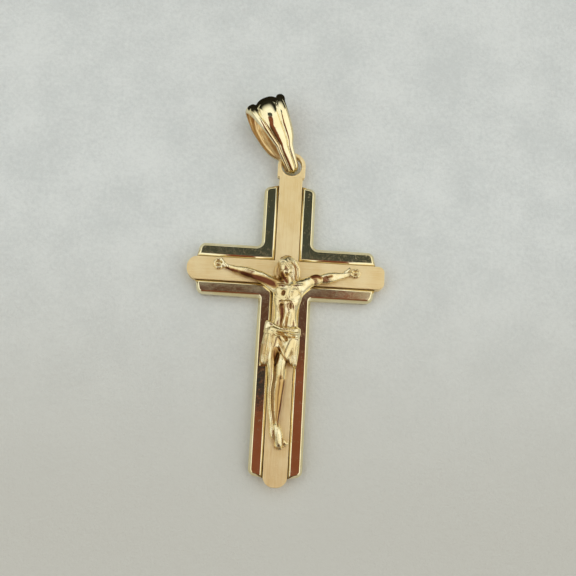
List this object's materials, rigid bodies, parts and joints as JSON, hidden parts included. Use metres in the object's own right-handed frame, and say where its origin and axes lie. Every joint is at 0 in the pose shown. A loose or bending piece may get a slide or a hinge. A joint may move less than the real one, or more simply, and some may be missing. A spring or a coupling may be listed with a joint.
{
  "type": "crucifix pendant",
  "caption": "Flat cross pendant with a satin band between bevelled polished borders, a cast corpus in relief and a fluted bail that swings in the eye at its head.",
  "frame": {"origin": "on the back plane of the cross, under the centre of its crossing", "axes": "+Z out of the front face, +Y to the head of the cross where the bail is, +X to the viewer's right"},
  "size_m": [0.0186, 0.0371, 0.0037],
  "materials": {
    "cross_gold": "yellow gold: brushed satin band, mirror-polished borders",
    "corpus_gold": "yellow gold, cast and polished",
    "bail_gold": "yellow gold, mirror-polished fluted sheet"
  },
  "bodies": {
    "pendant": {"cross": "cross_gold", "corpus": "corpus_gold"},
    "bail": {"bail": "bail_gold"}
  },
  "joints": [
    {"name": "bail_swing", "type": "hinge", "parent": "pendant", "child": "bail", "pos_m": [-0.00052, 0.01153, 0.00088], "axis": [0.891, 0.454, 0], "range_deg": [0, 105]}
  ]
}
